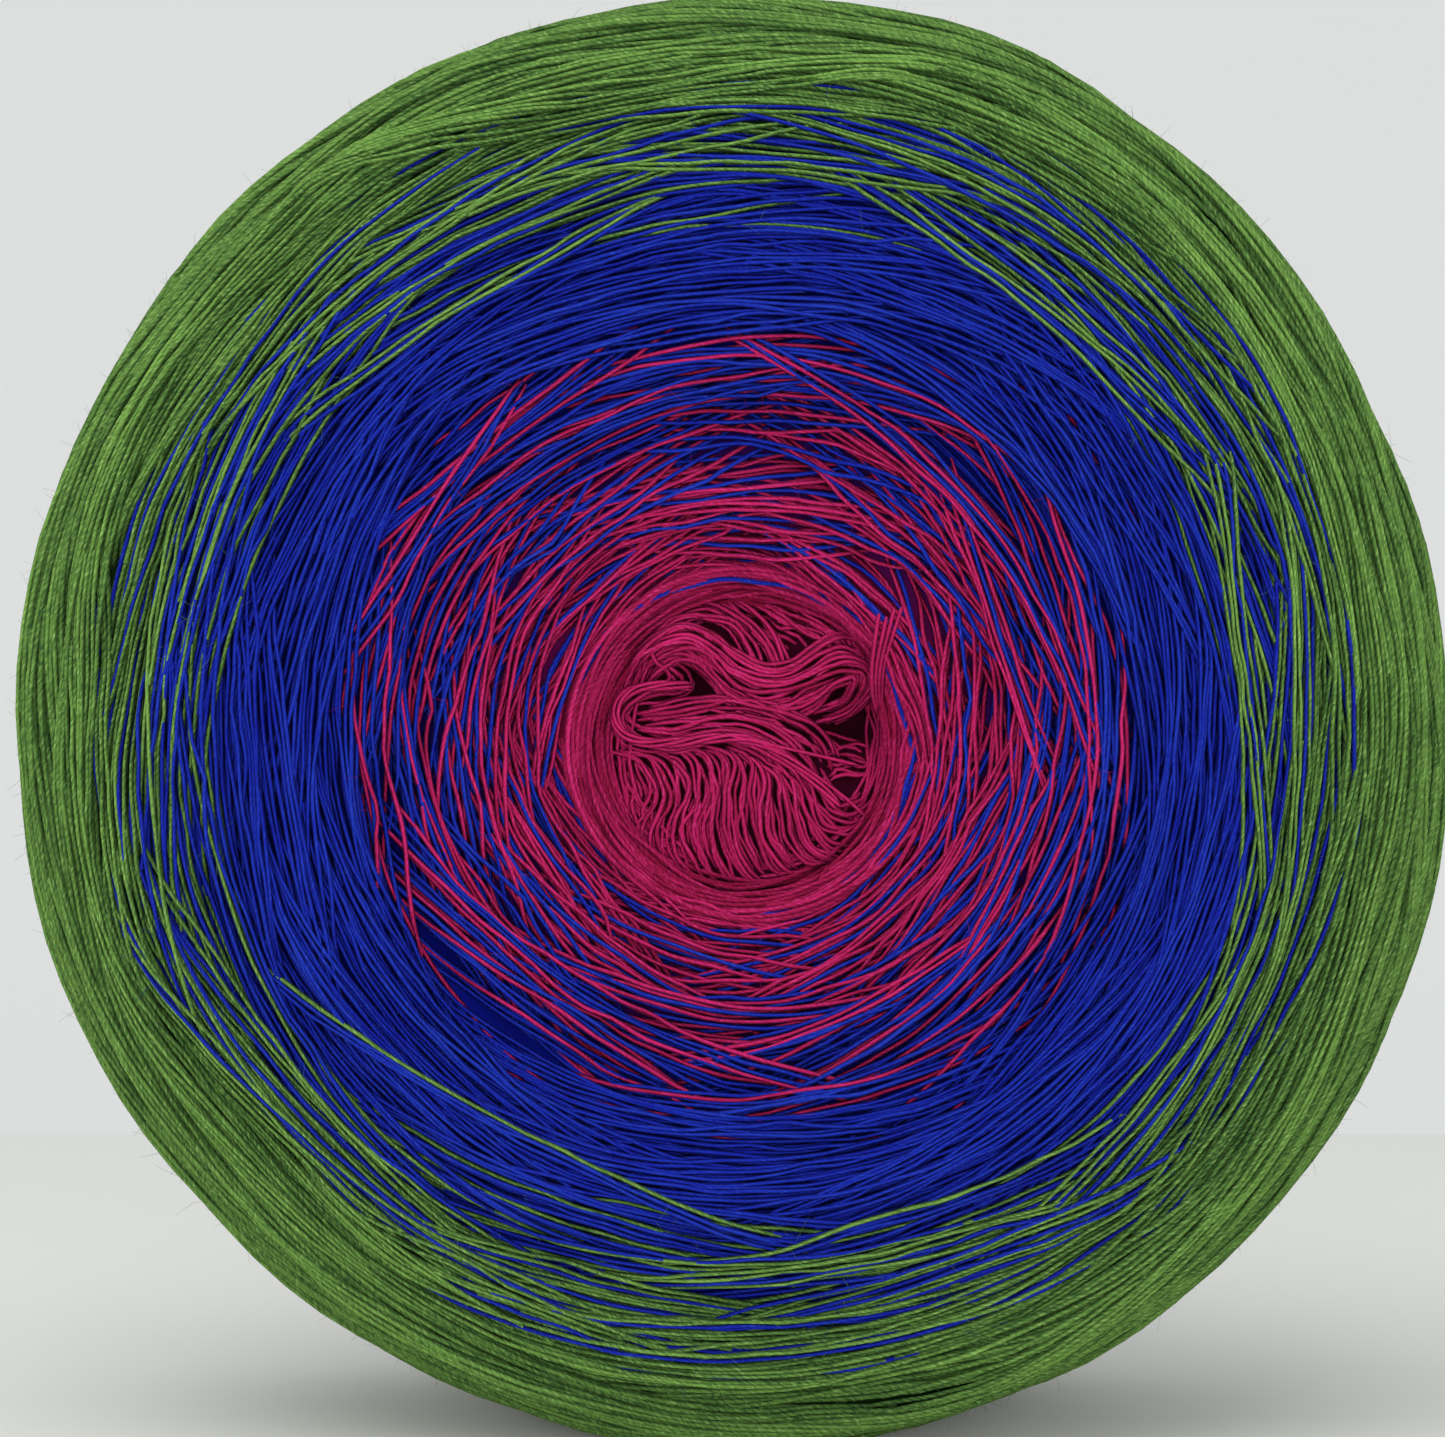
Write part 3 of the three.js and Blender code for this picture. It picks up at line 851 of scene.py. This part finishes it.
# From each radius on, the least and most turns in a ribbon.
RIBBON_TURNS = ((0, 1, 2), (33, 2, 5), (47, 1, 4))
RIBBON_STRAIGHT = (0.45, 0.95)
RIBBON_SPREAD = (0.6, 1.5)
RIBBON_LEAN = 0.03
DYE_JITTER = 1.2
LEAST_REACH = 2.0
REACH_GROWTH = 0.065
STEP_ROUND = math.radians(137.5)
STEP_JITTER = math.radians(24)


def lay_mark(mark, spread):
    lay_turns(FRONT, along_at_radius(mark["radius"]), math.radians(mark["angle"]),
              math.radians(mark["half"]), mark["straight"], mark["turns"], spelt_dyes(mark["dyes"]), spread)


def end_turns(side):
    """All the turns that show on one end, laid from inside the hole outwards."""
    marks = []
    for mark in MARKS if side == FRONT else []:
        mark = dict(zip(MARK_FIELDS, mark))
        ends_at = mark["radius"] / math.cos(mark["straight"] * math.radians(mark["half"]))
        marks.append({**mark, "laid": ends_at - MARK_COVERED})
    marks.sort(key=lambda mark: mark["laid"])
    nearest = FIRST_TURN
    last = along_at_radius(LAST_RADIUS)
    angle = random.uniform(0, 2 * math.pi)
    while nearest < last:
        radius = radius_at(nearest)
        dyes = dyes_at(radius + random.normal(0, DYE_JITTER))
        random.shuffle(dyes)
        least, most = [turns for start, *turns in RIBBON_TURNS if start <= radius][-1]
        ground_step = THREADS * SPACING * GROUND_SPAN / math.pi / GROUND_COVER
        lay_turns(side, nearest + 1.5, angle + random.uniform(2, 4), GROUND_SPAN, GROUND_STRAIGHT, 1, dyes)
        if nearest > FIRST_RIBBON:
            laid_span = 0.0
            while laid_span < COVER / GROUND_COVER * GROUND_SPAN:
                turns = int(random.integers(least, most + 1))
                straight = random.uniform(*RIBBON_STRAIGHT)
                reach = (LEAST_REACH + REACH_GROWTH * radius) * random.uniform(0.8, 1.25)
                half_span = math.sqrt(2 * reach / radius) / straight
                lay_turns(side, nearest + random.normal(0, 0.4), angle, half_span, straight, turns, dyes,
                          spread=tuple(random.uniform(*RIBBON_SPREAD, 2)), lean=random.normal(0, RIBBON_LEAN))
                laid_span += turns * half_span
                angle += STEP_ROUND + random.normal(0, STEP_JITTER)
        nearest += ground_step
        while marks and radius_at(nearest) >= marks[0]["laid"]:
            lay_mark(marks.pop(0), spread=tuple(random.uniform(*MARK_SPREAD, 2)))


for side in (FRONT, BACK):
    end_turns(side)

# The rim: the last turns, all green, cross it from one shoulder to the other and back.
RIM_GROUND_TURNS = 27
RIM_CROSSINGS = 68
CROSSING_ROUND = math.radians(330)
CROSSING_BEND = 0.22
RIM_SPREAD = (0.7, 1.7)
shoulder_jitter = random.normal(0, 0.9, RIM_CROSSINGS + 1)
SHOULDER_FIRST = 60.0
SHOULDER_LAST = 67.0


def rim_ground():
    """Turns that run round the rim side by side, under those that cross it."""
    first = along_at_radius(SHOULDER_FIRST)
    column = np.arange(RIM_GROUND_TURNS * LOOKS_ROUND)
    along = np.linspace(first, PROFILE_AT[-1] - first, len(column)) + wander(len(column), 200, 0.5)
    lay_yarn(column, along, ["green"] * THREADS, RIM_GROUND, 1.0, RIM_GROUND_TURNS)


def rim_turns():
    columns, alongs, spreads = [], [], []
    reached = 0
    for crossing in range(RIM_CROSSINGS):
        share = (crossing + np.array([0.0, 1.0])) / RIM_CROSSINGS
        radii = SHOULDER_FIRST + (SHOULDER_LAST - SHOULDER_FIRST) * share ** 0.8
        radii = np.minimum(radii + shoulder_jitter[crossing:crossing + 2], SHOULDER_LAST)
        start, goal = along_at_radius(radii[0]), PROFILE_AT[-1] - along_at_radius(radii[1])
        looks = round(CROSSING_ROUND * random.uniform(0.86, 1.14) / (2 * math.pi) * LOOKS_ROUND)
        share = np.arange(looks) / looks
        from_end = np.minimum(share, 1 - share)
        bent = np.hypot(from_end, CROSSING_BEND) - CROSSING_BEND
        bent /= math.hypot(0.5, CROSSING_BEND) - CROSSING_BEND
        across = np.where(share < 0.5, bent / 2, 1 - bent / 2)
        along = start + (goal - start) * across
        columns.append(reached + np.arange(looks))
        alongs.append(along if crossing % 2 == 0 else PROFILE_AT[-1] - along)
        spreads.append(np.full(looks, random.uniform(*RIM_SPREAD)))
        reached += looks
    spread = near(np.concatenate(spreads), 60).mean(axis=-1)
    lay_yarn(np.concatenate(columns), np.concatenate(alongs), ["green"] * THREADS, RIM, spread, RIM_CROSSINGS)


rim_ground()
rim_turns()
# Two turns lie across the top of the front, over all the others.
lay_mark(dict(zip(MARK_FIELDS, TOP_MARK)), spread=(0.5, 1.0))

# The drum's surface is where most of the last turns reach, and their relief is pressed lower on the rim.
growth = np.percentile(heights, 80, axis=0)
kernel = np.hanning(41)
kernel /= kernel.sum()
growth = np.convolve(np.pad(growth, 20, mode="edge"), kernel, mode="valid")
FACE_RELIEF = 0.85
RIM_RELIEF = 0.75
relief = np.interp(PROFILE[:, 0], (50.0, 64.0), (FACE_RELIEF, RIM_RELIEF))

# A thread that stands proud of those around it is painted lighter, as painted light, and one in a hollow is
# painted darker, as painted shade.
EXPOSED = 1.1
EXPOSED_ROWS = 8
EXPOSED_LOOKS = 4
surround = near(near(heights, 1).max(axis=-1), EXPOSED_ROWS).mean(axis=-1)
looks = range(-EXPOSED_LOOKS, EXPOSED_LOOKS + 1)
surround = sum(np.roll(surround, look, axis=0) for look in looks) / len(looks)


def exposure(column, along, middle):
    """From 0 to 1, how far a laid thread stands out of what is round it."""
    row = np.clip(np.rint(along / PROFILE_STEP).astype(int), 0, ROWS - 1)
    return np.clip(0.55 + (middle - surround[column % LOOKS_ROUND, row]) / EXPOSED, 0, 1)


# Every thread of the windings becomes a tube, in a piece for each dye and side.
PIECES = {(dye, side): f"{end}_{dye}_turns" for end, side in ENDS.items() for dye in DYES}
PIECES |= {("green", RIM): "rim_green_turns", ("green", RIM_GROUND): "rim_ground_turns"}
# How far apart a thread's points are, by the hole and at the rim.
STEPS = {FRONT: (1.2, 1.8), RIM: (4.2, 4.2), BACK: (2.4, 3.6), RIM_GROUND: (5.5, 5.5)}
# How high a pile of threads may stand before it is pressed down, and how deep and over what length
# a thread's end is tucked in.
PRESSED = 2.4
TUCKED = 1.3
TUCK_REACH = 5.0
# What later threads bury is left out.
BURIED = 0.9
COVER_ROWS = 2
COVER_LOOKS = 4
SHOWN_MARGIN = 5
LEAST_SHOWN = 10
cover = near(heights, COVER_ROWS).min(axis=-1)
cover = np.minimum.reduce([np.roll(cover, look, axis=0) for look in range(-COVER_LOOKS, COVER_LOOKS + 1)])


def shown_runs(thread):
    """The stretches of a laid thread that later ones leave in sight."""
    row = np.clip(np.rint(thread["along"] / PROFILE_STEP).astype(int), 0, ROWS - 1)
    shown = cover[thread["column"] % LOOKS_ROUND, row] - thread["middle"] < BURIED
    shown = near(shown, SHOWN_MARGIN).any(axis=-1)
    edges = np.flatnonzero(np.diff(np.concatenate([[False], shown, [False]])))
    return [(low, high) for low, high in edges.reshape(-1, 2) if high - low > LEAST_SHOWN]


def drawn_thread(thread, low, high):
    """A stretch of a laid thread as a line of points. A pile of threads is pressed down, and a thread's
    own ends are tucked under the others."""
    radius = radius_at(thread["along"].mean())
    step = float(np.interp(radius, (HOLE_RADIUS, RADIUS), STEPS[thread["side"]]))
    skip = max(1, round(step / (radius * 2 * math.pi / LOOKS_ROUND)))
    keep = np.unique(np.append(np.arange(low, high, skip), high - 1))
    along = thread["along"][keep]
    middle = thread["middle"][keep]
    column = thread["column"][keep]
    lift = (middle - np.interp(along, PROFILE_AT, growth)) * np.interp(along, PROFILE_AT, relief)
    lift = np.minimum(lift, PRESSED * np.log1p(np.maximum(lift, 0) / PRESSED))
    from_end = np.minimum(keep, len(thread["along"]) - 1 - keep) * radius * 2 * math.pi / LOOKS_ROUND
    lift = lift - TUCKED * np.clip(1 - from_end / TUCK_REACH, 0, 1) ** 2
    line, outward = on_drum(column * 2 * math.pi / LOOKS_ROUND, along, lift, foot=THREAD / 2)
    # Painted light and shade from how far the thread stands out, with the thread's own random tone.
    tone_and_painted_shade = np.clip(exposure(column, along, middle) * 0.85 + (thread["tone_and_painted_shade"] - 0.5) * 0.5, 0, 1)
    return {"line": line, "outward": outward, "tone_and_painted_shade": tone_and_painted_shade,
            "thickness": THREAD * (1 + wander(len(keep), *UNEVEN_THICKNESS)), "start": random.uniform(0, 1)}


drawn = {key: [] for key in PIECES}
for thread in laid:
    runs = shown_runs(thread)
    drawn[(thread["dye"], thread["side"])] += [drawn_thread(thread, low, high) for low, high in runs]
for (dye, side), name in PIECES.items():
    thread_piece(name, drawn[(dye, side)], dye)

# The turns underneath
# Older turns fill the drum below those that show.
UNDER_STEPS = 180
UNDER_ROWS = 120
bpy.ops.object.select_all(action="DESELECT")
bpy.ops.mesh.primitive_torus_add(major_segments=UNDER_STEPS, minor_segments=UNDER_ROWS,
                                 major_radius=1.0, minor_radius=0.5, rotation=(math.pi / 2, 0, 0))
bpy.ops.object.transform_apply()
deep_turns = bpy.context.object
deep_turns.name = "deep_turns"
corners = np.array([vertex.co for vertex in deep_turns.data.vertices])
round_drum = np.arctan2(corners[:, 2], corners[:, 0])
round_section = np.arctan2(corners[:, 1], np.hypot(corners[:, 0], corners[:, 2]) - 1.0)
along = PROFILE_AT[-1] / 2 * (1 + round_section / math.pi)
lift = -np.interp(along, PROFILE_AT, growth * relief) - 0.1
points, _ = on_drum(round_drum, along, lift, foot=0.2)
deep_turns.data.vertices.foreach_set("co", (points * MM).ravel())
deep_turns.data.update()
bpy.ops.object.shade_smooth()
# Their colours are the dyes darkened, as painted shade, from magenta at the hole through blue to green.
deep_turns.data.materials.append(painted_shade_yarn("deep_turns_painted_shade", [
    (0, linear(92, 6, 40)), (18, linear(52, 8, 84)), (27, linear(5, 12, 100)), (52, linear(34, 64, 26)),
]))
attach(deep_turns, "root")
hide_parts("wound_body")

# The fibres
# Fine ends of cotton stand off the threads, most of all round the rim.
FIBRES = {"magenta": 1300, "blue": 2800, "green": 7600}
FIBRE_THICKNESS = 0.032
FIBRE_LENGTHS = (0.4, 1.7)
FIBRE_LIFT = 0.25
FIBRE_CURL = 0.5


def fibre(thread):
    """A hair that leaves a thread at a random place and curls away."""
    at = random.integers(0, len(thread["line"]))
    out = thread["outward"][at]
    start = thread["line"][at] + out * THREAD * 0.3
    heading = random.normal(0, 1, 3)
    heading = unit(heading + out * (FIBRE_LIFT - heading @ out))
    length = random.uniform(*FIBRE_LENGTHS)
    curl = random.normal(0, FIBRE_CURL, 3)
    share = np.linspace(0, 1, 3)[:, None]
    line = start + (heading * share + (curl + out * FIBRE_LIFT) * share ** 2) * length
    line[:, 2] = np.maximum(line[:, 2], FIBRE_THICKNESS)
    # Fibres are painted fully lit, as painted light.
    return {"line": line, "outward": out, "thickness": FIBRE_THICKNESS, "tone_and_painted_shade": 1.0, "start": 0.0}


for dye, count in FIBRES.items():
    grown = [thread for (its_dye, _), threads in drawn.items() if its_dye == dye for thread in threads]
    weights = np.array([len(thread["line"]) for thread in grown], float)
    picks = random.choice(len(grown), count, p=weights / weights.sum())
    thread_piece(f"{dye}_fibres", [fibre(grown[pick]) for pick in picks], dye)

# The stage
# A pale floor, a wall well behind it and soft light.
FLOOR_ENDS = 0.30
FLOOR_SIZE = 4.0
WALL_BEHIND = 1.6
WALL_SIZE = 6.0


def pale(name, red, green, blue, glow):
    nodes = Nodes(name)
    paint = linear(red, green, blue)
    nodes.hold({"Base Color": paint, "Roughness": 0.9, "Emission Color": paint, "Emission Strength": glow})
    return nodes.material


def plane(name, size, place, tilt, paint):
    bpy.ops.object.select_all(action="DESELECT")
    bpy.ops.mesh.primitive_plane_add(size=size, location=place, rotation=(tilt, 0, 0))
    bpy.ops.object.transform_apply()
    piece = bpy.context.object
    piece.name = name
    piece.data.materials.append(pale(f"{name}_paint", *paint))
    return piece


floor = plane("floor", FLOOR_SIZE, (0, FLOOR_ENDS - FLOOR_SIZE / 2, -0.0001), 0, (224, 224, 219, 0.05))
wall = plane("wall", WALL_SIZE, (0, WALL_BEHIND, 0.5), math.pi / 2, (222, 222, 219, 0.31))


def soft_light(name, place, aim_height, size, power):
    data = bpy.data.lights.new(name, "AREA")
    data.size = size
    data.energy = power
    light = bpy.data.objects.new(name, data)
    light.location = place
    aim = Vector((0, 0, aim_height))
    light.rotation_euler = (aim - light.location).to_track_quat("-Z", "Y").to_euler()
    bpy.context.scene.collection.objects.link(light)


soft_light("key_light", (-0.25, -0.45, 0.95), aim_height=0.07, size=1.1, power=5.6)
soft_light("fill_light", (0.2, -1.0, 0.10), aim_height=0.02, size=1.2, power=4.6)
soft_light("low_light", (0.0, -0.50, 0.06), aim_height=0.0, size=0.1, power=0.75)
soft_light("left_light", (-0.50, -0.32, 0.16), aim_height=0.0, size=0.5, power=0.7)
soft_light("right_light", (0.50, -0.32, 0.16), aim_height=0.0, size=0.5, power=0.5)
world = bpy.data.worlds.new("studio")
world.use_nodes = True
world.node_tree.nodes["Background"].inputs["Color"].default_value = linear(236, 240, 244)
world.node_tree.nodes["Background"].inputs["Strength"].default_value = 0.62
bpy.context.scene.world = world
